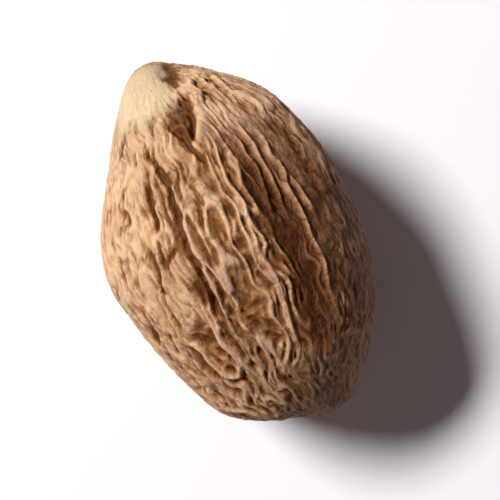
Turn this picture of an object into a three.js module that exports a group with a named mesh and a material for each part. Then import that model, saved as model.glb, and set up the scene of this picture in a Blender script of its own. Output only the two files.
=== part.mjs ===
// A whole nutmeg, the dried seed with its wrinkled skin, lying on its side.
// Millimetres. +Y runs along the seed to the pale scar, +X across it, +Z up.
// The origin is the middle of the underside of its box.
import * as THREE from 'three';

// Size of the seed before its skin is wrinkled.
const LENGTH = 30.0;
const WIDTH = 19.6;
const HEIGHT = 18.9;
// How much thinner the scar end is than an ellipse, and where the taper starts.
const TAPER = 0.32;
const TAPER_START = 0.05;
// Both ends are a little pinched as well.
const TIP_PINCH = 0.12;
const BASE_PINCH = 0.06;
// The seed lies with its scar end lifted by this many degrees, which balances it, and its
// skin is pressed flat over this depth where it rests.
const LIFT = 4;
const REST_DEPTH = 0.32;
// Crests stand up from a sunken floor where the skin has shrunk most. They are drawn a
// little wider than real ones, so that the mesh can follow them.
const CREST_HEIGHT = 0.35;
const CREST_HALF = 0.26;
const FLOOR_DEPTH = 0.14;
// Where it has shrunk least, the skin is smooth, with shallow lines along it. Deeper slits
// with rounded shoulders cut it, long ones near the scar and short ones elsewhere.
const SMOOTH_LEVEL = 0.08;
const LINE_DEPTH = 0.07;
const SLIT_DEPTH = 0.27;
const SLIT_HALF = 0.20;
const SHOULDER_HALF = 0.36;
const GROOVE_DEPTH = 0.40;
const SWELL_HEIGHT = 0.25;
// Soft wrinkles and broad folds under them: wavelengths and heights.
const FINE_WAVELENGTH = 0.68;
const FINE_HEIGHT = 0.05;
const FOLD_WAVELENGTH = 6.5;
const FOLD_HEIGHT = 0.13;
// Families of lines: how far each is drawn out along the seed, its wavelength and seed.
const LONG_LINES = { drawnOut: 9.0, wavelength: 1.65, seed: 2 };
const FORKED_LINES = { drawnOut: 6.0, wavelength: 2.0, seed: 8 };
const RUNG_LINES = { drawnOut: 1.8, wavelength: 1.15, seed: 6 };
const SLIT_LINES = { drawnOut: 4.5, wavelength: 1.9, seed: 5 };
// Lines run together towards both ends: 1 keeps their spacing, 0 keeps their number.
const CONVERGENCE = 0.25;
// The smooth scar cap at the thin end: centre, radius and half width of its edge.
const CAP_CENTRE = [-1.3, 13.2, 2.6];
const CAP_RADIUS = 3.3;
const CAP_EDGE = 1.2;
// Mesh spacing along the seed and around it.
const ROW_SPACING = 0.76;
const COLUMN_SPACING = 0.36;

// Crests and grooves that stand out on the upper side. Each runs from one [x, y] to
// another, with a bow sideways, a half width and a strength.
const CREST_MARKS = [
  { from: [-1.6, 6.8], to: [-2.6, -4.7], bow: -0.45, half: 0.28, strength: 1.0 },
  { from: [3.5, 7.8], to: [3.6, 1.0], bow: 0.45, half: 0.24, strength: 0.8 },
  { from: [4.2, 8.2], to: [4.5, 0.9], bow: 0.35, half: 0.24, strength: 0.8 },
  { from: [5.1, 7.6], to: [4.5, -6.6], bow: 0.75, half: 0.24, strength: 0.8 },
  { from: [1.7, 4.1], to: [0.9, -8.7], bow: 0.2, half: 0.30, strength: 1.0 },
  { from: [1.8, 12.9], to: [1.4, 8.2], bow: 0.75, half: 0.45, strength: 1.2 },
  { from: [5.9, 3.0], to: [6.25, -0.1], bow: 0.1, half: 0.24, strength: 0.8 },
  { from: [7.5, 2.3], to: [7.7, 0.5], bow: 0.0, half: 0.28, strength: 0.6 },
  { from: [2.35, 8.9], to: [2.9, 5.7], bow: 0.0, half: 0.24, strength: 0.8 },
  { from: [2.95, 5.9], to: [2.4, 4.0], bow: 0.1, half: 0.26, strength: 0.9 },
  { from: [1.8, 3.6], to: [2.3, 1.7], bow: 0.0, half: 0.26, strength: 0.8 },
  { from: [-1.85, -0.2], to: [-1.75, -4.3], bow: 0.0, half: 0.25, strength: 0.9 },
];
const GROOVE_MARKS = [
  { from: [-2.1, 7.0], to: [-2.9, -3.7], bow: -0.4, half: 0.28, strength: 0.85 },
  { from: [6.2, 8.0], to: [7.3, 0.1], bow: 0.6, half: 0.40, strength: 0.40 },
  { from: [3.2, 6.0], to: [2.6, -8.0], bow: 0.9, half: 1.00, strength: 0.45 },
  { from: [1.55, 11.2], to: [0.75, 8.3], bow: 0.2, half: 0.28, strength: 1.2 },
  { from: [1.1, 11.4], to: [0.1, 8.5], bow: 0.1, half: 0.55, strength: 0.7 },
  { from: [1.5, 14.7], to: [1.45, 12.3], bow: 0.0, half: 0.50, strength: 1.0 },
  { from: [-0.1, 9.9], to: [0.85, 6.4], bow: 0.0, half: 0.25, strength: 0.7 },
  { from: [-2.45, 9.2], to: [-1.95, 6.2], bow: -0.2, half: 0.25, strength: 0.6 },
  { from: [-3.2, 11.1], to: [-4.6, 9.6], bow: 0.0, half: 0.25, strength: 0.45 },
  { from: [-3.6, 6.9], to: [-4.4, 3.8], bow: -0.1, half: 0.25, strength: 1.1 },
  { from: [-5.7, 2.9], to: [-6.4, -1.2], bow: 0.2, half: 0.24, strength: 0.45 },
  { from: [-4.6, 3.1], to: [-5.15, 1.2], bow: 0.0, half: 0.24, strength: 0.45 },
  { from: [-3.7, 2.2], to: [-4.9, 0.9], bow: 0.0, half: 0.24, strength: 0.4 },
  { from: [-3.6, -1.0], to: [-3.5, -2.6], bow: 0.0, half: 0.36, strength: 0.75 },
  { from: [-8.05, -1.3], to: [-7.85, -3.8], bow: 0.0, half: 0.24, strength: 0.45 },
  { from: [-6.1, 6.2], to: [-6.3, 4.7], bow: 0.0, half: 0.22, strength: 0.3 },
];
// One broad swell, and round it a stretch where the crests are lower.
const SWELL_MARK = { from: [5.3, 9.6], to: [8.9, 1.2], bow: 1.0, half: 0.85, strength: 1.0 };
const LOWER_MARK = { from: [3.4, 10.0], to: [8.3, 1.5], bow: 0.8, half: 2.0, strength: 1.0 };

// A number from 0 to 1 that depends only on a count and a seed.
function chance(count, seed) {
  const v = Math.sin((count + 1) * 12.9898 + seed * 78.233) * 43758.5453;
  return v - Math.floor(v);
}

// 0 below a, 1 above b, and a smooth step between.
function step(a, b, x) {
  const t = Math.min(1, Math.max(0, (x - a) / (b - a)));
  return t * t * (3 - 2 * t);
}

// Waves of about one wavelength, running in all directions: three slopes and a start each.
function waveSet(wavelength, seed, count) {
  const waves = [];
  for (let i = 0; i < count; i += 1) {
    const turn = chance(3 * i, seed) * 2 * Math.PI;
    const rise = 2 * chance(3 * i + 1, seed) - 1;
    const flat = Math.sqrt(1 - rise * rise);
    const k = 2 * Math.PI / wavelength * (0.75 + 0.5 * chance(5 * i + 7, seed));
    waves.push([
      k * flat * Math.cos(turn),
      k * rise,
      k * flat * Math.sin(turn),
      chance(3 * i + 2, seed) * 2 * Math.PI,
    ]);
  }
  return waves;
}

// Height of the sea that such a set of waves makes, with a typical height of 1.
function waveField(wavelength, seed, count) {
  const waves = waveSet(wavelength, seed, count);
  const scale = Math.sqrt(2 / count);
  return (x, y, z) => {
    let sum = 0;
    for (const w of waves) sum += Math.cos(w[0] * x + w[1] * y + w[2] * z + w[3]);
    return sum * scale;
  };
}

const swayX = waveField(4.2, 41, 40);
const swayZ = waveField(4.2, 43, 40);
const shakeX = waveField(1.7, 44, 40);
const shakeZ = waveField(1.7, 45, 40);
const wanderX = waveField(1.7, 46, 40);
const fineWrinkles = waveField(FINE_WAVELENGTH, 1, 90);
const depthPatches = waveField(5.0, 51, 40);
const shrinkPatches = waveField(6.0, 71, 20);
const rungPatches = waveField(5.0, 74, 30);
const flatterRagged = waveField(2.5, 75, 30);
const brokenPatches = waveField(3.0, 77, 30);
const slitPatches = waveField(2.2, 78, 30);
const capRagged = waveField(1.8, 61, 40);
const folds = waveField(FOLD_WAVELENGTH, 31, 20);

// How far the middle of the seed sits to one side, t from -1 at the blunt end to 1.
function lean(t) {
  const shoulder = 0.62 * Math.exp(-(((t - 0.6) / 0.2) ** 2));
  const belly = 0.25 * Math.exp(-(((t - 0.05) / 0.2) ** 2));
  const heel = 0.35 * Math.exp(-(((t + 0.73) / 0.1) ** 2));
  return shoulder - belly - heel + 0.9 * step(-0.88, -1, t);
}

// The smooth egg under the skin, for a unit direction d.
function eggPoint(d) {
  const t = d.y;
  const pinch = TIP_PINCH * step(0.68, 0.95, t) + BASE_PINCH * step(-0.8, -0.97, t);
  const thin = (1 - TAPER * Math.max(0, t - TAPER_START) ** 1.5) * (1 - pinch);
  return new THREE.Vector3(
    WIDTH / 2 * d.x * thin + lean(t),
    LENGTH / 2 * t,
    HEIGHT / 2 * d.z * thin,
  );
}

// The egg's outward normal at direction d, from four points close by.
function eggNormal(d) {
  const side = new THREE.Vector3(0, 1, 0).cross(d);
  if (side.lengthSq() < 1e-12) side.set(1, 0, 0);
  side.normalize();
  const up = new THREE.Vector3().crossVectors(d, side);
  const near = (axis, e) => eggPoint(d.clone().addScaledVector(axis, e).normalize());
  const a = near(side, 1e-3).sub(near(side, -1e-3));
  const b = near(up, 1e-3).sub(near(up, -1e-3));
  const n = a.cross(b).normalize();
  return n.dot(d) < 0 ? n.negate() : n;
}

// How far a point is swayed sideways, which makes its lines wavy.
function sway(p) {
  return [
    0.13 * swayX(p.x, p.y, p.z) + 0.085 * shakeX(p.x, 0.7 * p.y, p.z),
    0.13 * swayZ(p.x, p.y, p.z) + 0.085 * shakeZ(p.x, 0.7 * p.y, p.z),
  ];
}

// A point's place in a space where wrinkles are as wide as long, so that on the seed
// they are drawn out along it and run together at its ends.
function wrinkleSpace(p, bend, drawnOut) {
  const r = Math.hypot(p.x, p.z);
  const spread = WIDTH / 2 * (r / (WIDTH / 2)) ** CONVERGENCE / Math.max(r, 1e-6);
  return [p.x * spread + bend[0], p.y / drawnOut, p.z * spread + bend[1]];
}

// The distance from the nearest line of a family: the lines on which its waves add to
// nothing, with the slope there turning their sum into a distance. With it comes how
// squarely the line runs along the seed.
function lineFamily({ drawnOut, wavelength, seed }) {
  const waves = waveSet(wavelength, seed, 60);
  return (p, bend) => {
    const [x, y, z] = wrinkleSpace(p, bend, drawnOut);
    let value = 0;
    const slope = new THREE.Vector3();
    for (const w of waves) {
      const phase = w[0] * x + w[1] * y + w[2] * z + w[3];
      value += Math.cos(phase);
      const s = Math.sin(phase);
      slope.x += s * w[0];
      slope.y += s * w[1] / drawnOut;
      slope.z += s * w[2];
    }
    const around = Math.abs(slope.x * p.z - slope.z * p.x) / Math.max(Math.hypot(p.x, p.z), 1e-6);
    const distance = Math.abs(value) / (slope.length() + 2.0 / wavelength);
    return [distance, around * wavelength / 20];
  };
}

const longLines = lineFamily(LONG_LINES);
const forkedLines = lineFamily(FORKED_LINES);
const rungLines = lineFamily(RUNG_LINES);
const slitLines = lineFamily(SLIT_LINES);

// Rounded cross-section of a crest or slit, 1 on its line.
function profile(distance, half) {
  return Math.exp(-((distance / half) ** 2));
}

// How much of the smooth cap is here, from 0 to 1.
function capShare(p) {
  const [x, y, z] = CAP_CENTRE;
  const ragged = 0.25 * capRagged(p.x, p.y, p.z);
  const far = Math.hypot(p.x - x, p.y - y, p.z - z) + ragged;
  const share = 1 - step(CAP_RADIUS - CAP_EDGE, CAP_RADIUS + CAP_EDGE, far);
  return share * step(1.5, 0.8, p.x + ragged);
}

// Strength of one mark: full along its line, fading across it and at its ends.
function markShare(mark, p) {
  const [x0, y0] = mark.from;
  const dx = mark.to[0] - x0;
  const dy = mark.to[1] - y0;
  const length = Math.hypot(dx, dy);
  const along = ((p.x - x0) * dx + (p.y - y0) * dy) / (length * length);
  const bow = mark.bow * 4 * along * (1 - along);
  const across = ((p.y - y0) * dx - (p.x - x0) * dy) / length - bow;
  const ends = step(-0.15, 0.2, along) * step(1.15, 0.8, along);
  return mark.strength * ends * profile(across, mark.half) * step(-1, 2, p.z);
}

// All marks of a list together, read a little to one side so that none runs straight.
function allMarks(marks, p) {
  const near = p.clone();
  near.x += 0.08 * wanderX(p.x, 0.7 * p.y, p.z);
  return marks.reduce((sum, mark) => sum + markShare(mark, near), 0);
}

// 1 where the skin has shrunk to crests and floors, 0 where it is smooth.
function shrunkShare(p) {
  const patches = 1.2 * shrinkPatches(p.x, p.y, p.z);
  const shift = patches - 4.0 * step(3, 7, p.y) + 2.6 * step(-1, -5, p.y);
  const across = step(-6.2, -2.4, p.x + shift);
  const share = Math.max(across, step(-9.5, -12.5, p.y), step(2.0, -3.0, p.z));
  return share * step(16.0, 11.0, p.y - 0.3 * p.x);
}

// 1 on the flank where the wrinkles are flatter, 0 elsewhere.
function flatterShare(p) {
  const edge = 3.4 - 0.03 * (p.y - 1) ** 2;
  const ragged = 0.5 * flatterRagged(p.x, 0.5 * p.y, p.z);
  const share = step(-0.7, 1.0, p.x - edge + ragged) * step(10.0, 6.0, p.y);
  return share * (1 - 0.35 * step(-7.0, -11.0, p.y)) * (1 - 0.6 * markShare(SWELL_MARK, p));
}

// Height of crests and floors, for a point and its distance from the nearest long line.
function roughHeight(p, bend, far) {
  const flatter = flatterShare(p);
  const rungs = step(-1.0, 0.4, rungPatches(p.x, p.y, p.z) + 1.2 * step(0, -7, p.y));
  const whole = 1 - 0.75 * flatter * step(0.5, -0.3, brokenPatches(p.x, 0.5 * p.y, p.z));
  const apart = 0.35 + 0.65 * step(0.15, 0.6, far);
  const crests = Math.max(
    whole * profile(far, CREST_HALF),
    0.85 * (1 - 0.65 * flatter) * apart * profile(forkedLines(p, bend)[0], CREST_HALF),
    (0.38 + 0.42 * step(-6, -10, p.y)) * rungs * profile(rungLines(p, bend)[0], CREST_HALF),
  );
  const patch = 1 + 0.25 * depthPatches(p.x, 0.6 * p.y, p.z);
  const low = (1 - 0.4 * step(-9, -13, p.y)) * (1 - 0.8 * flatter)
    * (1 - 0.45 * markShare(LOWER_MARK, p));
  const rise = Math.max(crests * patch * low, Math.min(1, allMarks(CREST_MARKS, p)));
  return CREST_HEIGHT * rise - FLOOR_DEPTH * low;
}

// Height of the smooth skin with its lines and slits.
function smoothHeight(p, bend, far) {
  const [distance, along] = slitLines(p, bend);
  const even = step(-3.0, -4.0, p.x + 0.3 * step(3, 0, p.y)) * step(-7, -3, p.y);
  const near = step(2, 5, p.y) * (1 - 0.9 * step(7, 9.5, p.y)) * step(-3.9, -3.1, p.x);
  const short = 0.85 * step(0.0, 0.7, slitPatches(p.x, 0.6 * p.y, p.z)) * (1 - 0.5 * even);
  const slit = 0.6 * profile(distance, SLIT_HALF) + 0.4 * profile(distance, SHOULDER_HALF);
  const lines = LINE_DEPTH * (1 - 0.8 * even) * profile(far, CREST_HALF);
  return SMOOTH_LEVEL - SLIT_DEPTH * slit * Math.max(near, short) * step(0.3, 0.7, along) - lines;
}

// Height of the skin above the smooth egg.
function skinHeight(p) {
  const bend = sway(p);
  const fine = Math.tanh(1.2 * fineWrinkles(...wrinkleSpace(p, bend, 5.0)));
  const far = longLines(p, bend)[0];
  const shrunk = shrunkShare(p);
  const skin = roughHeight(p, bend, far) * shrunk
    + smoothHeight(p, bend, far) * (1 - shrunk) + FINE_HEIGHT * fine;
  const grooves = Math.min(1.4, allMarks(GROOVE_MARKS, p));
  return skin * (1 - 0.92 * capShare(p)) - GROOVE_DEPTH * grooves
    + SWELL_HEIGHT * markShare(SWELL_MARK, p) + FOLD_HEIGHT * folds(p.x, 0.35 * p.y, p.z);
}

// The skin at direction d.
function skinPoint(d) {
  const p = eggPoint(d);
  return p.clone().addScaledVector(eggNormal(d), skinHeight(p));
}

// Angles from the scar end at which the rows of points lie, evenly along the outline.
function rowAngles() {
  const steps = 2000;
  const arc = [0];
  let last = eggPoint(new THREE.Vector3(0, 1, 0));
  for (let i = 1; i <= steps; i += 1) {
    const a = Math.PI * i / steps;
    const next = eggPoint(new THREE.Vector3(Math.sin(a), Math.cos(a), 0));
    arc.push(arc[i - 1] + next.distanceTo(last));
    last = next;
  }
  const rows = Math.round(arc[steps] / ROW_SPACING);
  const angles = [];
  let i = 0;
  for (let row = 1; row < rows; row += 1) {
    const target = arc[steps] * row / rows;
    while (arc[i + 1] < target) i += 1;
    angles.push(Math.PI * (i + (target - arc[i]) / (arc[i + 1] - arc[i])) / steps);
  }
  return angles;
}

// Points of one row and the turn at which each lies.
function makeRow(angle, first, points) {
  const radius = eggPoint(new THREE.Vector3(Math.sin(angle), Math.cos(angle), 0)).x;
  const count = Math.max(6, Math.round(2 * Math.PI * Math.abs(radius) / COLUMN_SPACING));
  const turns = [];
  for (let i = 0; i < count; i += 1) {
    const turn = (i + first) / count;
    const a = 2 * Math.PI * turn;
    const d = new THREE.Vector3(
      Math.sin(angle) * Math.cos(a),
      Math.cos(angle),
      -Math.sin(angle) * Math.sin(a),
    );
    points.push(skinPoint(d));
    turns.push(turn);
  }
  return { start: points.length - count, count, turns };
}

// Triangles between two rows that may hold different numbers of points.
function stitch(upper, lower, faces) {
  let i = 0;
  let j = 0;
  while (i < upper.count || j < lower.count) {
    const a = upper.start + i % upper.count;
    const b = lower.start + j % lower.count;
    const nextUpper = i < upper.count ? (i + 1 + upper.turns[0] * upper.count) / upper.count : 9;
    const nextLower = j < lower.count ? (j + 1 + lower.turns[0] * lower.count) / lower.count : 9;
    if (nextUpper < nextLower) {
      faces.push(a, b, upper.start + (i + 1) % upper.count);
      i += 1;
    } else {
      faces.push(a, b, lower.start + (j + 1) % lower.count);
      j += 1;
    }
  }
}

// A fan of triangles from one end point to the row beside it.
function closeEnd(tip, row, outward, faces) {
  for (let i = 0; i < row.count; i += 1) {
    const a = row.start + i;
    const b = row.start + (i + 1) % row.count;
    if (outward) faces.push(tip, a, b);
    else faces.push(tip, b, a);
  }
}

// The whole skin as one closed mesh.
function skinGeometry() {
  const points = [];
  const faces = [];
  const rows = rowAngles().map((angle, k) => makeRow(angle, k % 2 ? 0.5 : 0, points));
  for (let k = 1; k < rows.length; k += 1) stitch(rows[k - 1], rows[k], faces);
  points.push(skinPoint(new THREE.Vector3(0, 1, 0)));
  closeEnd(points.length - 1, rows[0], true, faces);
  points.push(skinPoint(new THREE.Vector3(0, -1, 0)));
  closeEnd(points.length - 1, rows[rows.length - 1], false, faces);
  setDown(points);
  const flat = points.flatMap((p) => [p.x, p.y, p.z]);
  const geometry = new THREE.BufferGeometry();
  geometry.setAttribute('position', new THREE.Float32BufferAttribute(flat, 3));
  geometry.setIndex(faces);
  geometry.computeVertexNormals();
  return geometry;
}

// Tips the seed to its balance, presses the underside flat and moves it so that its box
// stands on the origin.
function setDown(points) {
  const across = new THREE.Vector3(1, 0, 0);
  for (const p of points) p.applyAxisAngle(across, LIFT * Math.PI / 180);
  const low = Math.min(...points.map((p) => p.z)) + REST_DEPTH;
  for (const p of points) p.z = Math.max(p.z, low);
  const box = new THREE.Box3().setFromPoints(points);
  const middle = box.getCenter(new THREE.Vector3());
  for (const p of points) p.sub(new THREE.Vector3(middle.x, middle.y, box.min.z));
}

const skin = new THREE.MeshStandardMaterial({ color: '#a67f5c', roughness: 0.7, metalness: 0 });
const nutmeg = new THREE.Mesh(skinGeometry(), skin);
nutmeg.name = 'nutmeg';

const part = new THREE.Group();
part.name = 'whole_nutmeg';
part.add(nutmeg);

export default part;
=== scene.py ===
# %% [markdown]
# A whole nutmeg: the dried seed of the nutmeg tree, lying on its side.
# Its shape is simple, a blunt egg, and nearly all of its character is in the skin, which
# shrivels as the seed dries. This lesson builds the egg, wrinkles it by rule, colours
# ridge, furrow and scar by the same rule, and adds the finest creases with Geometry Nodes.

# %% Start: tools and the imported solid
import math

import bpy
import numpy as np
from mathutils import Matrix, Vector


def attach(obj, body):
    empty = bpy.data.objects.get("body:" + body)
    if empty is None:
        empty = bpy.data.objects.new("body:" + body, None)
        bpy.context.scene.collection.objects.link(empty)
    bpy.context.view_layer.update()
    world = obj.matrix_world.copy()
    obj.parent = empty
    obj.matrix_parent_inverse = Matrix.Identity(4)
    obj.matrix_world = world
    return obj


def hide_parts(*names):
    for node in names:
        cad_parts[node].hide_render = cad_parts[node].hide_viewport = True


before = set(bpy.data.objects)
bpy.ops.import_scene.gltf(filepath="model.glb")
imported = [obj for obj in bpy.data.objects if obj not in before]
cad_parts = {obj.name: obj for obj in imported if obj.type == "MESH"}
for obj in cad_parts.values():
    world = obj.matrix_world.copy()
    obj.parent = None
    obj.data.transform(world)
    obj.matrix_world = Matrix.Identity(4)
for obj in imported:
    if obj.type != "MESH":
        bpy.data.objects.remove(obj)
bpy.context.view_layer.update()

# %% [markdown]
# Two small helpers serve every material and node tree below. Colours are written as
# screen (sRGB) hex values because that is how one picks them, and Blender
# calculates in linear light, so one function turns them to linear. The other adds one
# node of any kind with its settings and links, so a tree reads from top to bottom.

# %% Helpers for colours and nodes
TAU = 2 * math.pi
MM = 0.001


def linear(hex_colour):
    """Linear RGBA from an sRGB hex value such as 'a0703f'."""
    out = []
    for i in (0, 2, 4):
        c = int(hex_colour[i:i + 2], 16) / 255
        out.append(c / 12.92 if c <= 0.04045 else ((c + 0.055) / 1.055) ** 2.4)
    return (*out, 1.0)


def add(tree, kind, inputs=None, **settings):
    """Adds one node. inputs maps a socket's name or number to a value or to an output."""
    node = tree.nodes.new(kind)
    for name, value in settings.items():
        setattr(node, name, value)
    for key, value in (inputs or {}).items():
        socket = node.inputs[key]
        if isinstance(value, bpy.types.NodeSocket):
            tree.links.new(value, socket)
        else:
            socket.default_value = value
    return node


# %% [markdown]
# The nutmeg is measured in millimetres here. The egg is 30 mm long, a little wider than
# high, and thinner towards the scar, the end where the seed was fixed in its shell. The
# solid was made from these same numbers, so the finished skin sits on the same egg.

# %% The egg under the skin
LENGTH = 30.0
WIDTH = 19.6
HEIGHT = 18.9
TAPER = 0.32
TAPER_START = 0.05
TIP_PINCH = 0.12
BASE_PINCH = 0.06
LIFT = 4.0
REST_DEPTH = 0.32


def chance(count, seed):
    """A number from 0 to 1 that depends only on a count and a seed."""
    v = np.sin((count + 1) * 12.9898 + seed * 78.233) * 43758.5453
    return v - np.floor(v)


def step(a, b, x):
    """0 below a, 1 above b, and a smooth step between."""
    t = np.clip((x - a) / (b - a), 0, 1)
    return t * t * (3 - 2 * t)


def lean(t):
    """How far the middle of the seed sits to one side, t from -1 at the blunt end to 1."""
    shoulder = 0.62 * np.exp(-((t - 0.6) / 0.2) ** 2)
    belly = 0.25 * np.exp(-((t - 0.05) / 0.2) ** 2)
    heel = 0.35 * np.exp(-((t + 0.73) / 0.1) ** 2)
    return shoulder - belly - heel + 0.9 * step(-0.88, -1, t)


def egg_points(d):
    """Points of the smooth egg for unit directions d."""
    t = d[:, 1]
    thin = 1 - TAPER * np.maximum(0, t - TAPER_START) ** 1.5
    thin = thin * (1 - TIP_PINCH * step(0.68, 0.95, t) - BASE_PINCH * step(-0.8, -0.97, t))
    x = WIDTH / 2 * d[:, 0] * thin + lean(t)
    return np.stack([x, LENGTH / 2 * t, HEIGHT / 2 * d[:, 2] * thin], axis=1)


def unit(v):
    """The same directions with a length of 1."""
    return v / np.linalg.norm(v, axis=1)[:, None]


def egg_normals(d):
    """Outward normals of the egg, from four points close to each direction."""
    side = np.cross([0.0, 1.0, 0.0], d)
    side[np.linalg.norm(side, axis=1) < 1e-6] = [1, 0, 0]
    side = unit(side)
    up = np.cross(d, side)
    a = egg_points(unit(d + 1e-3 * side)) - egg_points(unit(d - 1e-3 * side))
    b = egg_points(unit(d + 1e-3 * up)) - egg_points(unit(d - 1e-3 * up))
    n = unit(np.cross(a, b))
    return n * np.sign((n * d).sum(axis=1))[:, None]


print("egg:", LENGTH, "x", WIDTH, "x", HEIGHT, "mm")

# %% [markdown]
# The skin wrinkles because the kernel shrinks inside it. Wrinkles run from the scar to
# the blunt end, about a millimetre apart, and part and join on the way. A sum of many
# crossing waves of one wavelength gives hills that far apart but with no repeat. Reading
# it in a space that is squeezed along the seed draws the hills out into long ridges, and
# sideways bends of about a tenth of a millimetre keep them from looking combed. High on
# one flank the finer bends are up to twice as wide, and the ridges there are kinked.

# %% The wrinkles
FINE_WAVELENGTH = 0.62
CONVERGENCE = 0.25
BROAD_BEND = 0.13
FINE_BEND = 0.085
FOLD_HEIGHT = 0.13
FOLD_WAVELENGTH = 6.5
CAP_CENTRE = (-1.3, 13.2, 2.6)
CAP_RADIUS = 3.3
CAP_EDGE = 1.2
CAP_SMOOTHING = 0.92


def wave_set(wavelength, seed, count):
    """Directions and starts of waves of about one wavelength, running every way."""
    i = np.arange(count)
    turn = chance(3 * i, seed) * TAU
    rise = 2 * chance(3 * i + 1, seed) - 1
    flat = np.sqrt(1 - rise ** 2)
    k = TAU / wavelength * (0.75 + 0.5 * chance(5 * i + 7, seed))
    ways = np.stack([k * flat * np.cos(turn), k * rise, k * flat * np.sin(turn)])
    return ways, chance(3 * i + 2, seed) * TAU


def waves(p, wavelength, seed, count):
    """Height of the sea that such a set of waves makes, with a typical height of 1."""
    ways, start = wave_set(wavelength, seed, count)
    return np.cos(p @ ways + start).sum(axis=1) * math.sqrt(2 / count)


def wrinkle_space(p, drawn_out):
    """Where the points lie in a space in which wrinkles are as wide as long."""
    r = np.hypot(p[:, 0], p[:, 2])
    spread = WIDTH / 2 * (r / (WIDTH / 2)) ** CONVERGENCE / np.maximum(r, 1e-6)
    q = p * [1, 0.7, 1]
    kinked = step(1.5, 4.5, p[:, 0]) * step(8.5, 4.5, p[:, 1]) * step(0, 4, p[:, 2])
    kink = FINE_BEND * (1 + kinked)
    bend_x = BROAD_BEND * waves(p, 4.2, 41, 40) + kink * waves(q, 1.7, 44, 40)
    bend_z = BROAD_BEND * waves(p, 4.2, 43, 40) + kink * waves(q, 1.7, 45, 40)
    return np.stack([p[:, 0] * spread + bend_x, p[:, 1] / drawn_out,
                     p[:, 2] * spread + bend_z], axis=1)


def cap_share(p):
    """How much of the smooth scar cap is here, from 0 to 1."""
    ragged = 0.25 * waves(p, 1.8, 61, 40)
    far = np.linalg.norm(p - np.array(CAP_CENTRE), axis=1) + ragged
    share = 1 - step(CAP_RADIUS - CAP_EDGE, CAP_RADIUS + CAP_EDGE, far)
    return share * step(1.5, 0.8, p[:, 0] + ragged)


# %% [markdown]
# Some crests and grooves stand out from the rest on the upper side. Each is a line from
# one place to another with a bow sideways, a half width and a strength, so that the list
# stays as short as a maker's notes. One broad swell and a stretch round it are given in the
# same way; the stretch has lower crests and is painted paler, as painted light.

# %% Marks that stand out
CREST_MARKS = [
    # from, to, bow, half width, strength
    ((-1.6, 6.8), (-2.6, -4.7), -0.45, 0.20, 1.0),
    ((4.2, 8.2), (4.5, 0.9), 0.35, 0.12, 0.8),
    ((3.5, 7.8), (3.6, 1.0), 0.45, 0.13, 0.8),
    ((5.1, 7.6), (4.5, -6.6), 0.75, 0.13, 0.8),
    ((1.7, 4.1), (0.9, -8.7), 0.2, 0.24, 1.0),
    ((1.8, 12.9), (1.4, 8.2), 0.75, 0.48, 1.2),
    ((5.9, 3.0), (6.25, -0.1), 0.1, 0.12, 0.8),
    ((7.5, 2.3), (7.7, 0.5), 0.0, 0.24, 0.6),
    ((2.35, 8.9), (2.9, 5.7), 0.0, 0.13, 0.8),
    ((2.95, 5.9), (2.4, 4.0), 0.1, 0.20, 0.9),
    ((1.8, 3.6), (2.3, 1.7), 0.0, 0.20, 0.8),
    ((-1.85, -0.2), (-1.75, -4.3), 0.0, 0.16, 1.0),
]
SWELL_MARK = ((5.3, 9.6), (8.9, 1.2), 1.0, 0.85, 1.0)
# Painted light: a stretch round the swell painted paler, with lower crests
PAINTED_LIGHT_MARK = ((3.4, 10.0), (8.3, 1.5), 0.8, 2.0, 1.0)
GROOVE_MARKS = [
    ((-2.1, 7.0), (-2.9, -3.7), -0.4, 0.22, 1.0),
    ((6.2, 8.0), (7.3, 0.1), 0.6, 0.40, 0.40),
    ((3.2, 6.0), (2.6, -8.0), 0.9, 1.00, 0.45),
    ((1.55, 11.2), (0.75, 8.3), 0.2, 0.24, 1.3),
    ((1.1, 11.4), (0.1, 8.5), 0.1, 0.55, 0.85),
    ((1.5, 14.7), (1.45, 12.3), 0.0, 0.55, 1.0),
    ((-0.1, 9.9), (0.85, 6.4), 0.0, 0.17, 1.0),
    ((-2.45, 9.2), (-1.95, 6.2), -0.2, 0.15, 0.9),
    ((-3.2, 11.1), (-4.6, 9.6), 0.0, 0.15, 0.7),
    ((-3.6, 6.9), (-4.4, 3.8), -0.1, 0.17, 1.6),
    ((-5.7, 2.9), (-6.4, -1.2), 0.2, 0.14, 0.7),
    ((-4.6, 3.1), (-5.15, 1.2), 0.0, 0.13, 0.8),
    ((-3.7, 2.2), (-4.9, 0.9), 0.0, 0.13, 0.7),
    ((-3.6, -1.0), (-3.5, -2.6), 0.0, 0.35, 0.8),
    ((-8.05, -1.3), (-7.85, -3.8), 0.0, 0.13, 0.75),
    ((-6.1, 6.2), (-6.3, 4.7), 0.0, 0.10, 0.6),
]


def mark_share(mark, p):
    """Strength of one mark: full along its line, fading across it and at its ends."""
    (x0, y0), (x1, y1), bow, half, strength = mark
    dx, dy = x1 - x0, y1 - y0
    length = math.hypot(dx, dy)
    along = ((p[:, 0] - x0) * dx + (p[:, 1] - y0) * dy) / length ** 2
    bowed = bow * 4 * along * (1 - along)
    across = ((p[:, 1] - y0) * dx - (p[:, 0] - x0) * dy) / length - bowed
    ends = step(-0.15, 0.2, along) * step(1.15, 0.8, along)
    return strength * ends * np.exp(-(across / half) ** 2) * step(-1, 2, p[:, 2])


print(len(CREST_MARKS), "crests and", len(GROOVE_MARKS), "grooves stand out")
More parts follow.
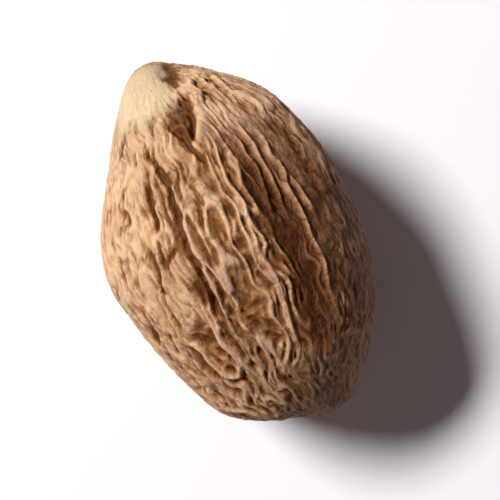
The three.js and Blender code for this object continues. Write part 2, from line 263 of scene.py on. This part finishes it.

# %% [markdown]
# On a dried nutmeg two kinds of line tell the story. Thin crests stand up from a sunken
# floor where the skin has shrunk most, and narrow slits cut a smooth skin where it has
# shrunk least. Both are the lines on which a field of waves passes through zero. Its
# slope turns the value there into a distance in millimetres, so a crest is equally wide
# all along. Drawn out nine times, such lines run almost from end to end. Lines drawn out
# less fork between them or tie them together like rungs. On the flank turned from the
# light the crests are low and broken, and the colour there is darkened as painted shade.
# On the other, towards the blunt end, a close net of shallow lines covers the smooth skin.

# %% Families of lines
# How far each family of lines is drawn out, its wavelength and its seed
LONG_LINES = (9.0, 1.65, 2)
FORKED_LINES = (6.0, 2.0, 8)
RUNG_LINES = (1.8, 1.15, 6)
SLIT_LINES = (4.5, 1.9, 5)
NET_LINES = (3.2, 1.25, 12)
CREST_HALF = 0.15
SLIT_HALF = 0.11
SHOULDER_HALF = 0.30
NET_HALF = 0.10


def line_distance(p, family):
    """Distance in mm from the nearest line of a family, and how squarely it runs along."""
    drawn_out, wavelength, seed = family
    q = wrinkle_space(p, drawn_out)
    ways, start = wave_set(wavelength, seed, 60)
    phase = q @ ways + start
    value = np.cos(phase).sum(axis=1)
    slope = np.sin(phase) @ (ways.T / [1, drawn_out, 1])
    around = np.abs(slope[:, 0] * p[:, 2] - slope[:, 2] * p[:, 0])
    around = around / np.maximum(np.hypot(p[:, 0], p[:, 2]), 1e-6)
    distance = np.abs(value) / (np.linalg.norm(slope, axis=1) + 2.0 / wavelength)
    return distance, around * wavelength / 20


def profile(distance, half):
    """Rounded cross-section of a crest or slit, 1 on its line."""
    return np.exp(-(distance / half) ** 3)


print("crests", 2 * CREST_HALF, "mm and slits", 2 * SLIT_HALF, "mm wide")

# %% [markdown]
# Where the skin has shrunk, and the flank turned from the light whose colour is darkened
# as painted shade, are soft regions with ragged edges, because on a real seed neither ends
# at a line.

# %% Regions of the skin
MARK_WANDER = 0.08


def shrunk_share(p):
    """1 where the skin has shrunk to crests and floors, 0 where it is smooth."""
    shift = 1.2 * waves(p, 6.0, 71, 20) - 4.0 * step(3, 7, p[:, 1]) + 2.6 * step(-1, -5, p[:, 1])
    share = step(-6.2, -2.4, p[:, 0] + shift)
    share = np.maximum(share, step(-9.5, -12.5, p[:, 1]))
    share = np.maximum(share, step(2.0, -3.0, p[:, 2]))
    return share * step(16.0, 11.0, p[:, 1] - 0.3 * p[:, 0])


def shaded_flank_share(p):
    """1 on the flank turned from the light, with flatter crests and painted shade, 0 elsewhere."""
    edge = 3.4 - 0.03 * (p[:, 1] - 1) ** 2
    ragged = 0.5 * waves(p * [1, 0.5, 1], 2.5, 75, 30)
    share = step(-0.7, 1.0, p[:, 0] - edge + ragged) * step(10.0, 6.0, p[:, 1])
    share = share * (1 - 0.2 * step(-7.0, -11.0, p[:, 1]))
    return share * (1 - 0.6 * mark_share(SWELL_MARK, p))


def wander(p):
    """The same points moved sideways a little, so that marks read there do not run straight."""
    return p + np.outer(MARK_WANDER * waves(p * [1, 0.7, 1], 1.7, 46, 40), [1, 0, 0])


print("marks wander by about", MARK_WANDER, "mm")

# %% [markdown]
# Height and tone are made side by side from the same lines, so that every crest is pale
# and every slit dark just where it stands up or sinks in. The rough and the smooth skin
# are worked out everywhere and then blended by region.

# %% Height and tone
CREST_HEIGHT = 0.40
FLOOR_DEPTH = 0.14
SMOOTH_LEVEL = 0.08
SLIT_DEPTH = 0.34
LINE_DEPTH = 0.07
NET_DEPTH = 0.10
GROOVE_DEPTH = 0.40
SWELL_HEIGHT = 0.25
ROUGH_GRAIN = 0.07
SMOOTH_GRAIN = 0.06


def rough_skin(p, far, fine, shaded_flank, marks):
    """Height and tone of crests and floors, for points far from the nearest long line."""
    y = p[:, 1]
    rungs = step(-1.0, 0.4, waves(p, 5.0, 74, 30) + 1.2 * step(0, -7, y))
    rungs = rungs * (0.38 + 0.42 * step(-6, -10, y))
    whole = 1 - 0.75 * shaded_flank * step(0.5, -0.3, waves(p * [1, 0.5, 1], 3.0, 77, 30))
    apart = 0.35 + 0.65 * step(0.15, 0.6, far)
    crests = np.max([
        whole * profile(far, CREST_HALF),
        0.85 * (1 - 0.65 * shaded_flank) * apart * profile(line_distance(p, FORKED_LINES)[0], CREST_HALF),
        rungs * profile(line_distance(p, RUNG_LINES)[0], CREST_HALF),
    ], axis=0)
    patch = 1 + 0.25 * waves(p * [1, 0.6, 1], 5.0, 51, 40)
    low = (1 - 0.4 * step(-9, -13, y)) * (1 - 0.8 * shaded_flank) * (1 - 0.45 * mark_share(PAINTED_LIGHT_MARK, p))
    rise = np.maximum(crests * patch * low, marks)
    crests = np.maximum(crests, marks)
    height = CREST_HEIGHT * rise - FLOOR_DEPTH * low
    height = height + ROUGH_GRAIN * fine * (1 - 0.6 * crests) * (1 - 0.45 * shaded_flank)
    base = step(-7, -11, y)
    # Painted light and shade: on the flank turned from the light the floors are painted paler and
    # the crests less pale, softening the shadow there
    low_shaded_flank = shaded_flank * step(0, -5, y)
    tone = 0.35 * base + 0.4 * shaded_flank + 0.15 * low_shaded_flank - 0.95 + 0.2 * fine
    tone = tone + (2.0 - 0.3 * base - 0.5 * shaded_flank - 0.4 * low_shaded_flank) * crests
    return height, tone


def smooth_skin(p, far, fine):
    """Height and tone of the smooth skin with its shallow lines and deeper slits."""
    x, y = p[:, 0], p[:, 1]
    even = step(-3.0, -4.0, x + 0.3 * step(3, 0, y)) * step(-4, -1, y)
    lower = step(3.5, 1.0, y)
    net = lower * profile(line_distance(p, NET_LINES)[0], NET_HALF)
    near_scar = step(2, 5, y) * (1 - 0.9 * step(7, 9.5, y)) * step(-3.9, -3.1, x)
    short = 0.85 * step(0.0, 0.7, waves(p * [1, 0.6, 1], 2.2, 78, 30)) * (1 - 0.5 * even)
    slit, along = line_distance(p, SLIT_LINES)
    share = np.maximum(near_scar, short) * step(0.3, 0.7, along)
    slits = share * profile(slit, SLIT_HALF)
    shoulders = share * profile(slit, SHOULDER_HALF)
    lines = (1 - 0.8 * even) * profile(far, CREST_HALF)
    height = SMOOTH_LEVEL - SLIT_DEPTH * (0.6 * slits + 0.4 * shoulders) - LINE_DEPTH * lines
    height = height + SMOOTH_GRAIN * (1 - 0.33 * even) * fine - NET_DEPTH * net
    pale = 0.22 * step(8.5, 4.0, np.linalg.norm(p - np.array(CAP_CENTRE), axis=1))
    tone = 0.62 + pale - 2.2 * slits - 0.35 * shoulders - 0.45 * lines + 0.35 * fine
    tone = tone - net + 0.36 * lower
    return height, tone


def skin(p):
    """Height of the skin over the egg, its relief from -1 to 1, and its painted shade on the flank
    turned from the light.
    """
    near = wander(p)
    marks = np.minimum(1, sum(mark_share(m, near) for m in CREST_MARKS))
    grooves = np.minimum(1.6, sum(mark_share(m, near) for m in GROOVE_MARKS))
    fine = np.tanh(1.2 * waves(wrinkle_space(p, 1.8), FINE_WAVELENGTH, 1, 90))
    far = line_distance(p, LONG_LINES)[0]
    shaded_flank = shaded_flank_share(p)
    shrunk = shrunk_share(p)
    rough, rough_tone = rough_skin(p, far, fine, shaded_flank, marks)
    smooth, smooth_tone = smooth_skin(p, far, fine)
    height = rough * shrunk + smooth * (1 - shrunk)
    height = height * (1 - CAP_SMOOTHING * cap_share(p)) - GROOVE_DEPTH * grooves
    height = height + FOLD_HEIGHT * waves(p * [1, 0.35, 1], FOLD_WAVELENGTH, 31, 20)
    height = height + SWELL_HEIGHT * mark_share(SWELL_MARK, p)
    relief = rough_tone * shrunk + smooth_tone * (1 - shrunk) - 2.2 * np.minimum(1, 1.4 * grooves)
    # Painted light: the stretch round the swell is painted paler
    relief = relief + 0.8 * mark_share(PAINTED_LIGHT_MARK, p) + 0.3 * step(3, 8, p[:, 1]) * shrunk
    return height, np.clip(relief, -1, 1), shaded_flank * (1 - 0.8 * marks)


print("crests", CREST_HEIGHT, "mm high, slits", SLIT_DEPTH, "mm deep")

# %% [markdown]
# The mesh is made of rows around the seed, close together and with even closer points,
# because the ridges are narrow across and long along. Rows near the ends hold fewer
# points, so the triangles between two rows are stitched by always taking the nearer point.

# %% The rows of points
ROW_SPACING = 0.185
COLUMN_SPACING = 0.105


def row_angles():
    """Angles from the scar end at which the rows lie, evenly along the outline."""
    a = np.linspace(0, math.pi, 4001)
    outline = egg_points(np.stack([np.sin(a), np.cos(a), 0 * a], axis=1))
    arc = np.concatenate([[0], np.cumsum(np.linalg.norm(np.diff(outline, axis=0), axis=1))])
    rows = round(arc[-1] / ROW_SPACING)
    return np.interp(arc[-1] * np.arange(1, rows) / rows, arc, a)


def make_rows():
    """Directions of all points and, for each row, its first point and its count."""
    directions, rows, start = [np.array([[0, 1, 0], [0, -1, 0]])], [], 2
    for k, angle in enumerate(row_angles()):
        edge = egg_points(np.array([[math.sin(angle), math.cos(angle), 0]]))[0, 0]
        count = max(6, round(TAU * abs(edge) / COLUMN_SPACING))
        turn = TAU * (np.arange(count) + 0.5 * (k % 2)) / count
        ring = math.sin(angle) * np.stack([np.cos(turn), 0 * turn, -np.sin(turn)], axis=1)
        ring[:, 1] = math.cos(angle)
        directions.append(ring)
        rows.append((start, count, 0.5 * (k % 2)))
        start += count
    return np.concatenate(directions), rows


def stitch(upper, lower):
    """Triangles between two rows that may hold different numbers of points."""
    (a0, an, af), (b0, bn, bf) = upper, lower
    faces, i, j = [], 0, 0
    while i < an or j < bn:
        a, b = a0 + i % an, b0 + j % bn
        if j >= bn or (i < an and (i + 1 + af) / an < (j + 1 + bf) / bn):
            i += 1
            faces.append((a, b, a0 + i % an))
        else:
            j += 1
            faces.append((a, b, b0 + j % bn))
    return faces


directions, rows = make_rows()
faces = []
for upper, lower in zip(rows, rows[1:]):
    faces += stitch(upper, lower)
first, last = rows[0], rows[-1]
faces += [(0, first[0] + i, first[0] + (i + 1) % first[1]) for i in range(first[1])]
faces += [(1, last[0] + (i + 1) % last[1], last[0] + i) for i in range(last[1])]
print(len(directions), "points and", len(faces), "triangles")

# %% [markdown]
# A nutmeg lies in balance with its scar end a little raised, on the crests of a few
# wrinkles. So the points are tipped, pressed flat by a third of a millimetre where they
# would touch, and set down on the floor. Relief, cap, the painted shade of the flank turned
# from the light, the smooth skin and the drawn-out coordinates go along as attributes, for
# the colours and creases to come.

# %% The seed set down
egg = egg_points(directions)
height, relief, shaded_flank = skin(egg)
points = egg + egg_normals(directions) * height[:, None]
tip = math.radians(LIFT)
y = points[:, 1] * math.cos(tip) - points[:, 2] * math.sin(tip)
z = points[:, 1] * math.sin(tip) + points[:, 2] * math.cos(tip)
points = np.stack([points[:, 0], y, np.maximum(z, z.min() + REST_DEPTH)], axis=1)
points -= (points.max(axis=0) + points.min(axis=0)) / 2
points[:, 2] -= points[:, 2].min()

mesh = bpy.data.meshes.new("nutmeg_skin")
mesh.from_pydata((points * MM).tolist(), [], faces)
for name, kind, values in (
    ("relief", "FLOAT", relief),
    ("cap", "FLOAT", cap_share(egg)),
    # painted shade of the flank turned from the light
    ("shaded_flank", "FLOAT", shaded_flank),
    ("smooth", "FLOAT", 1 - shrunk_share(egg)),
    ("grain", "FLOAT_VECTOR", wrinkle_space(egg, 1.6)),
):
    attribute = mesh.attributes.new(name, kind, "POINT")
    field = "value" if kind == "FLOAT" else "vector"
    attribute.data.foreach_set(field, np.asarray(values, dtype=np.float32).ravel())
mesh.shade_smooth()
nutmeg = bpy.data.objects.new("nutmeg_skin", mesh)
bpy.context.scene.collection.objects.link(nutmeg)
print("seed on the floor, size in mm:", np.round(np.ptp(points, axis=0), 2))

# %% [markdown]
# The skin is the dry, matt, woody coat of the kernel. Furrows keep brown dust and are
# dark, the crests are rubbed to a pale pinkish tan, and the scar cap is smooth and cream,
# more tan towards its edge. All of that follows the relief, so the material starts from
# the relief attribute and runs it through a ramp of browns. Redder and yellower patches
# tint the pale parts only.

# %% Browns and patches
SKIN_BROWNS = (
    (0.0, "5e3411"),
    (0.25, "85552a"),
    (0.5, "a87a52"),
    (0.75, "c39a75"),
    (1.0, "d2ad8b"),
)
# Size in mm, detail, where the noise starts and is full, strength and colour
PATCHES = (
    (3.8, 3.0, 0.42, 0.68, 0.40, "8a5a3c"),
    (5.9, 2.0, 0.5, 0.7, 0.30, "c0955a"),
)


def browns_by_relief(tree, relief, fibre):
    """Tone from 0 to 1, the relief shifted a little by fibre streaks, and its brown."""
    shifted = add(tree, "ShaderNodeMath", {0: fibre, 1: 2.0, 2: relief}, operation="MULTIPLY_ADD")
    tone = add(tree, "ShaderNodeMapRange", {"Value": shifted.outputs[0], "From Min": 0.0,
                                            "From Max": 2.0})
    ramp = add(tree, "ShaderNodeValToRGB", {"Fac": tone.outputs[0]})
    colours = ramp.color_ramp
    while len(colours.elements) < len(SKIN_BROWNS):
        colours.elements.new(0.5)
    for element, (position, colour) in zip(colours.elements, SKIN_BROWNS):
        element.position = position
        element.color = linear(colour)
    return tone.outputs[0], ramp.outputs[0]


def patched(tree, under, tone, place, patch):
    """A colour with patches of one kind, stronger where the skin is paler."""
    size, detail, start, full, strength, colour = patch
    noise = add(tree, "ShaderNodeTexNoise", {"Vector": place, "Scale": 1 / (size * MM),
                                             "Detail": detail})
    share = add(tree, "ShaderNodeMapRange", {"Value": noise.outputs["Fac"], "From Min": start,
                                             "From Max": full, "To Max": strength})
    share = add(tree, "ShaderNodeMath", {0: share.outputs[0], 1: tone}, operation="MULTIPLY")
    return add(tree, "ShaderNodeMix", {"Factor": share.outputs[0], 6: under, 7: linear(colour)},
               data_type="RGBA").outputs[2]


print(len(SKIN_BROWNS), "browns and", len(PATCHES), "kinds of patches")

# %% [markdown]
# Drying splits the skin in hairline cracks, drawn out along the seed as the wrinkles are
# and torn up in patches, and leaves it with a fine woody grain. The cap has no wrinkles
# to take its colour from, so it gets its own, by how far inside its edge a place lies.

# %% Cracks, cap and grain
FIBRES_PER_MM = 2.6
PORES_PER_MM = 4.0
CRACKS_PER_MM = 1.5
GRAIN_DEPTH = 0.20
CAP_TAN = "8f7450"
CAP_CREAM = "dcc29d"


def hairline_cracks(tree, grain, relief):
    """A net of thin cracks off the crests, drawn out along the seed and torn in patches."""
    bent = add(tree, "ShaderNodeTexNoise", {"Vector": grain, "Scale": 2.0, "Detail": 2.0})
    path = add(tree, "ShaderNodeVectorMath", {0: bent.outputs["Color"], 1: (0.25, 0.25, 0.25),
                                              2: grain}, operation="MULTIPLY_ADD")
    drawn = add(tree, "ShaderNodeVectorMath", {0: path.outputs[0], 1: (1.0, 0.3, 1.0)},
                operation="MULTIPLY")
    net = add(tree, "ShaderNodeTexVoronoi", {"Vector": drawn.outputs[0], "Scale": CRACKS_PER_MM},
              feature="DISTANCE_TO_EDGE")
    hairline = add(tree, "ShaderNodeMapRange", {"Value": net.outputs["Distance"],
                                                "From Max": 0.12, "To Min": 1.0, "To Max": 0.0})
    off_crest = add(tree, "ShaderNodeMapRange", {"Value": relief, "From Min": 0.8,
                                                 "From Max": 0.4})
    torn = add(tree, "ShaderNodeTexNoise", {"Vector": grain, "Scale": 1.1, "Detail": 2.0})
    where = add(tree, "ShaderNodeMapRange", {"Value": torn.outputs["Fac"], "From Min": 0.48,
                                             "From Max": 0.60, "To Max": 0.8})
    crack = add(tree, "ShaderNodeMath", {0: hairline.outputs[0], 1: where.outputs[0]},
                operation="MULTIPLY")
    crack = add(tree, "ShaderNodeMath", {0: crack.outputs[0], 1: off_crest.outputs[0]},
                operation="MULTIPLY")
    return crack.outputs[0]


def cap_colour(tree, cap, fibre):
    """Cream inside the scar cap and tan towards its edge, with fibre streaks."""
    inside = add(tree, "ShaderNodeMath", {0: cap, 1: 0.6, 2: fibre}, operation="MULTIPLY_ADD")
    inside = add(tree, "ShaderNodeMapRange", {"Value": inside.outputs[0], "From Min": 0.4,
                                              "From Max": 1.4})
    return add(tree, "ShaderNodeMix", {"Factor": inside.outputs[0], 6: linear(CAP_TAN),
                                       7: linear(CAP_CREAM)}, data_type="RGBA").outputs[2]


def grain_normal(tree, grain, crack):
    """Normals of the woody grain, with the cracks sunk in."""
    pores = add(tree, "ShaderNodeTexNoise", {"Vector": grain, "Scale": PORES_PER_MM, "Detail": 4.0,
                                             "Roughness": 0.7})
    level = add(tree, "ShaderNodeMath", {0: crack, 1: -0.5, 2: pores.outputs["Fac"]},
                operation="MULTIPLY_ADD")
    bump = add(tree, "ShaderNodeBump", {"Strength": 0.8, "Distance": GRAIN_DEPTH * MM,
                                        "Height": level.outputs[0]})
    return bump.outputs[0]


print("cracks", round(1 / CRACKS_PER_MM, 2), "mm and pores", 1 / PORES_PER_MM, "mm apart")

# %% [markdown]
# The material lays its colours over each other from the most common to the rarest: the
# patched browns, the cream of smooth skin, the painted shade of the flank turned from the
# light, cracks, creases and the cap. The surface is matt, because dry wood scatters nearly
# all of the light.

# %% Material: dry nutmeg skin
SMOOTH_CREAM = "cba67c"
CREAM_STRENGTH = 0.25
# Painted shade: multiplies the colour of the flank turned from the light
PAINTED_FLANK_SHADE = "c8b9b2"
CRACK_BROWN = "633a18"
CREASE_BROWN = "5a3b22"
ROUGHNESS = 0.62
SHINE = 0.18


def nutmeg_skin_material():
    """The whole skin, from the brown of the relief up to the cap."""
    material = bpy.data.materials.new("dry_nutmeg_skin")
    material.use_nodes = True
    tree = material.node_tree
    surface = tree.nodes["Principled BSDF"]
    relief, cap, shaded_flank, smooth, crease = (
        add(tree, "ShaderNodeAttribute", attribute_name=name).outputs["Fac"]
        for name in ("relief", "cap", "shaded_flank", "smooth", "crease"))
    grain = add(tree, "ShaderNodeAttribute", attribute_name="grain").outputs["Vector"]
    place = add(tree, "ShaderNodeTexCoord").outputs["Object"]
    fibre = add(tree, "ShaderNodeTexNoise", {"Vector": grain, "Scale": FIBRES_PER_MM, "Detail": 5.0,
                                             "Roughness": 0.7}).outputs["Fac"]
    tone, colour = browns_by_relief(tree, relief, fibre)
    for patch in PATCHES:
        colour = patched(tree, colour, tone, place, patch)
    cream = add(tree, "ShaderNodeMath", {0: smooth, 1: tone}, operation="MULTIPLY")
    cream = add(tree, "ShaderNodeMath", {0: cream.outputs[0], 1: CREAM_STRENGTH},
                operation="MULTIPLY")
    crack = hairline_cracks(tree, grain, relief)
    for share, over, blend in (
        (cream.outputs[0], linear(SMOOTH_CREAM), "MIX"),
        # Painted shade: the flank turned from the light is multiplied darker
        (shaded_flank, linear(PAINTED_FLANK_SHADE), "MULTIPLY"),
        (crack, linear(CRACK_BROWN), "MIX"),
        (crease, linear(CREASE_BROWN), "MIX"),
        (cap, cap_colour(tree, cap, fibre), "MIX"),
    ):
        colour = add(tree, "ShaderNodeMix", {"Factor": share, 6: colour, 7: over},
                     data_type="RGBA", blend_type=blend).outputs[2]
    tree.links.new(colour, surface.inputs["Base Color"])
    surface.inputs["Roughness"].default_value = ROUGHNESS
    surface.inputs["Specular IOR Level"].default_value = SHINE
    tree.links.new(grain_normal(tree, grain, crack), surface.inputs["Normal"])
    return material


skin_material = nutmeg_skin_material()
print("material:", skin_material.name)

# %% [markdown]
# Between the wrinkles the skin is crazed in patches with fine creases, over half a
# millimetre apart. They follow the surface, which is a job for Geometry Nodes: the
# distance to the edge of Voronoi cells, read in the drawn-out coordinates, is a net of
# thin lines. Soft ripples of about the same size lie between them.

# %% Creases and ripples
CREASE_DEPTH = 0.05
CREASE_SPACING = 0.62
CREASE_TONE = 0.6
RIPPLE_DEPTH = 0.07
RIPPLE_SPACING = 0.5
FLAT_LEVEL = 0.02


def crease_net(tree, grain, spacing, bare):
    """Strength of the creases: a patchy net of thin lines, none on the cap."""
    cells = add(tree, "ShaderNodeMath", {0: 1.0, 1: spacing}, operation="DIVIDE")
    wobble = add(tree, "ShaderNodeTexNoise", {"Vector": grain, "Scale": 1.6})
    bent = add(tree, "ShaderNodeVectorMath", {0: wobble.outputs["Color"], 1: (0.5, 0.5, 0.5),
                                              2: grain}, operation="MULTIPLY_ADD")
    net = add(tree, "ShaderNodeTexVoronoi", {"Vector": bent.outputs[0],
                                             "Scale": cells.outputs[0]},
              feature="DISTANCE_TO_EDGE")
    line = add(tree, "ShaderNodeMapRange", {"Value": net.outputs["Distance"], "From Min": 0.0,
                                            "From Max": 0.16, "To Min": 1.0, "To Max": 0.0},
               interpolation_type="SMOOTHSTEP")
    patchy = add(tree, "ShaderNodeTexNoise", {"Vector": grain, "Scale": 0.55, "Detail": 2.0})
    where = add(tree, "ShaderNodeMapRange", {"Value": patchy.outputs["Fac"], "From Min": 0.4,
                                             "From Max": 0.62}, interpolation_type="SMOOTHSTEP")
    crease = add(tree, "ShaderNodeMath", {0: line.outputs[0], 1: where.outputs[0]},
                 operation="MULTIPLY")
    crease = add(tree, "ShaderNodeMath", {0: crease.outputs[0], 1: bare}, operation="MULTIPLY")
    return crease.outputs[0]


def ripples(tree, grain, spacing, depth):
    """Height of the soft ripples between the creases."""
    bumps = add(tree, "ShaderNodeMath", {0: 1.0, 1: spacing}, operation="DIVIDE")
    noise = add(tree, "ShaderNodeTexNoise", {"Vector": grain, "Scale": bumps.outputs[0],
                                             "Detail": 2.0})
    level = add(tree, "ShaderNodeMath", {0: noise.outputs["Fac"], 1: 0.5}, operation="SUBTRACT")
    ripple = add(tree, "ShaderNodeMath", {0: level.outputs[0], 1: depth}, operation="MULTIPLY")
    return ripple.outputs[0]


print("creases", CREASE_SPACING, "mm apart and", CREASE_DEPTH, "mm deep")

# %% [markdown]
# The tree sinks the skin along the creases and moves it up and down by the ripples, all
# but the flat underside. It also stores the net, because the material darkens it.

# %% Geometry Nodes: fine creases
def crease_tree():
    """Sinks creases into a skin, ripples it between them and gives it its material."""
    tree = bpy.data.node_groups.new("fine_creases", "GeometryNodeTree")
    face = tree.interface
    face.new_socket("Geometry", in_out="INPUT", socket_type="NodeSocketGeometry")
    for name, value in (("Crease depth", CREASE_DEPTH * MM), ("Crease spacing", CREASE_SPACING),
                        ("Ripple depth", RIPPLE_DEPTH * MM), ("Ripple spacing", RIPPLE_SPACING)):
        face.new_socket(name, in_out="INPUT", socket_type="NodeSocketFloat").default_value = value
    face.new_socket("Skin", in_out="INPUT", socket_type="NodeSocketMaterial")
    face.new_socket("Geometry", in_out="OUTPUT", socket_type="NodeSocketGeometry")
    given = add(tree, "NodeGroupInput").outputs
    grain = add(tree, "GeometryNodeInputNamedAttribute", {"Name": "grain"},
                data_type="FLOAT_VECTOR").outputs["Attribute"]
    cap = add(tree, "GeometryNodeInputNamedAttribute", {"Name": "cap"}).outputs["Attribute"]
    bare = add(tree, "ShaderNodeMath", {0: 1.0, 1: cap}, operation="SUBTRACT").outputs[0]
    crease = crease_net(tree, grain, given["Crease spacing"], bare)
    ripple = ripples(tree, grain, given["Ripple spacing"], given["Ripple depth"])
    sunk = add(tree, "ShaderNodeMath", {0: crease, 1: given["Crease depth"]},
               operation="MULTIPLY")
    rise = add(tree, "ShaderNodeMath", {0: ripple, 1: sunk.outputs[0]}, operation="SUBTRACT")
    push = add(tree, "ShaderNodeVectorMath", {0: add(tree, "GeometryNodeInputNormal").outputs[0],
                                              "Scale": rise.outputs[0]}, operation="SCALE")
    # The flat underside stays flat
    position = add(tree, "GeometryNodeInputPosition").outputs[0]
    split = add(tree, "ShaderNodeSeparateXYZ", {0: position})
    above = add(tree, "FunctionNodeCompare", {0: split.outputs[2], 1: FLAT_LEVEL * MM},
                operation="GREATER_THAN")
    moved = add(tree, "GeometryNodeSetPosition", {"Geometry": given["Geometry"],
                                                  "Selection": above.outputs[0],
                                                  "Offset": push.outputs[0]})
    shown = add(tree, "ShaderNodeMath", {0: crease, 1: CREASE_TONE}, operation="MULTIPLY")
    kept = add(tree, "GeometryNodeStoreNamedAttribute", {"Geometry": moved.outputs[0],
                                                         "Name": "crease",
                                                         "Value": shown.outputs[0]},
               domain="POINT")
    solid = add(tree, "GeometryNodeRealizeInstances", {"Geometry": kept.outputs[0]})
    dressed = add(tree, "GeometryNodeSetMaterial", {"Geometry": solid.outputs[0],
                                                    "Material": given["Skin"]})
    add(tree, "NodeGroupOutput", {"Geometry": dressed.outputs[0]})
    return tree


def finish_with(obj, tree, values):
    """Runs a tree on an object with values for its inputs, and keeps the plain mesh."""
    modifier = obj.modifiers.new(tree.name, "NODES")
    modifier.node_group = tree
    for item in tree.interface.items_tree:
        if item.in_out == "INPUT" and item.name in values:
            modifier[item.identifier] = values[item.name]
    evaluated = obj.evaluated_get(bpy.context.evaluated_depsgraph_get())
    result = bpy.data.meshes.new_from_object(evaluated)
    obj.modifiers.remove(modifier)
    obj.data = result
    return result


result = finish_with(nutmeg, crease_tree(), {"Skin": skin_material})
result.name = "nutmeg_skin"
print("creased skin:", len(result.vertices), "points,", len(result.polygons), "triangles")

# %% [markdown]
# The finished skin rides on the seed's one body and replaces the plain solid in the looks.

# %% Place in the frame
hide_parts("nutmeg")
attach(nutmeg, "root")

# %% [markdown]
# The nutmeg lies on a plain white surface. One soft key light stands at the upper left,
# halfway up, and a dim even sky fills the shadow. The camera looks straight down and is
# turned so that the seed lies at a slant, with the scar end at the upper left.

# %% Floor
FLOOR_HALF = 0.5
BOARD_WHITE = "ebe8ea"
floor_mesh = bpy.data.meshes.new("floor")
corners = [(x * FLOOR_HALF, y * FLOOR_HALF, 0) for x, y in ((-1, -1), (1, -1), (1, 1), (-1, 1))]
floor_mesh.from_pydata(corners, [], [(0, 1, 2, 3)])
floor = bpy.data.objects.new("floor", floor_mesh)
bpy.context.scene.collection.objects.link(floor)
paper = bpy.data.materials.new("matt_white_board")
paper.use_nodes = True
paper_surface = paper.node_tree.nodes["Principled BSDF"]
paper_surface.inputs["Base Color"].default_value = linear(BOARD_WHITE)
paper_surface.inputs["Roughness"].default_value = 0.9
floor_mesh.materials.append(paper)
print("floor", 2 * FLOOR_HALF, "m wide")

# %% Camera
ROLL = math.radians(27)
right = Vector((math.cos(ROLL), -math.sin(ROLL), 0))
up = Vector((math.sin(ROLL), math.cos(ROLL), 0))
VIEW_WIDTH = 38.5 * MM
VIEW_RIGHT = 1.5
VIEW_DOWN = 0.5
MIDDLE_HEIGHT = 9.4
camera_data = bpy.data.cameras.new("camera")
camera_data.lens = 100
camera_data.sensor_width = 36
camera_data.clip_start = 0.001
camera = bpy.data.objects.new("camera", camera_data)
distance = VIEW_WIDTH * camera_data.lens / camera_data.sensor_width
camera.location = right * VIEW_RIGHT * MM - up * VIEW_DOWN * MM
camera.location += Vector((0, 0, distance + MIDDLE_HEIGHT * MM))
camera.rotation_euler = (0, 0, -ROLL)
bpy.context.scene.collection.objects.link(camera)
bpy.context.scene.camera = camera
print("view is", VIEW_WIDTH / MM, "mm wide")

# %% Light
LIGHT_HEIGHT = math.radians(47)
LIGHT_DISTANCE = 0.6
LIGHT_LEFT = 0.9
LIGHT_FORWARD = 0.436
# How wide and how high the light looks from the seed
LIGHT_ACROSS = math.radians(22)
LIGHT_UP = math.radians(10)
LIGHT_POWER = 5.6
SKY_TINT = "f0dcdf"
SKY_STRENGTH = 0.12
towards = (-LIGHT_LEFT * right + LIGHT_FORWARD * up).normalized() * math.cos(LIGHT_HEIGHT)
towards += Vector((0, 0, math.sin(LIGHT_HEIGHT)))
key_data = bpy.data.lights.new("key", "AREA")
key_data.shape = "ELLIPSE"
key_data.size = 2 * LIGHT_DISTANCE * math.tan(LIGHT_ACROSS / 2)
key_data.size_y = 2 * LIGHT_DISTANCE * math.tan(LIGHT_UP / 2)
key_data.energy = LIGHT_POWER
key = bpy.data.objects.new("key", key_data)
key.location = towards * LIGHT_DISTANCE
key.rotation_euler = (-towards).to_track_quat("-Z", "Y").to_euler()
bpy.context.scene.collection.objects.link(key)

world = bpy.data.worlds.new("even_fill")
bpy.context.scene.world = world
world.use_nodes = True
sky = world.node_tree.nodes["Background"]
sky.inputs["Color"].default_value = linear(SKY_TINT)
sky.inputs["Strength"].default_value = SKY_STRENGTH
bpy.context.scene.view_settings.view_transform = "Standard"
print("key light", LIGHT_DISTANCE, "m away")
